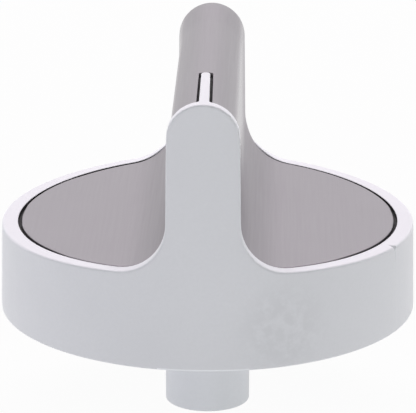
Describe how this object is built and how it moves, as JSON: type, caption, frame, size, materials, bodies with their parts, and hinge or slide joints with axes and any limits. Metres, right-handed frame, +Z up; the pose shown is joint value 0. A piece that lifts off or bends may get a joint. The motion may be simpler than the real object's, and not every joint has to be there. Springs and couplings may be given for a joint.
{
  "type": "burner knob",
  "caption": "Round control knob for a gas hob: hollow plastic skirt with a bar grip and pointer, a pressed steel cover and a stem bored for a flatted spindle.",
  "frame": {"origin": "centre of the stem's foot, on the plane that the knob stands on", "axes": "+Z up along the stem and spindle axis, Y along the grip with the pointer at its -Y end, X across the grip"},
  "size_m": [0.0504, 0.0504, 0.0444],
  "materials": {
    "body_plastic": "satin",
    "cover_steel": "satin, fine grain along the grip",
    "clip_steel": "rolled"
  },
  "bodies": {
    "root": {"knob_body": "body_plastic", "steel_cover": "cover_steel", "spring_clip": "clip_steel"}
  },
  "joints": []
}
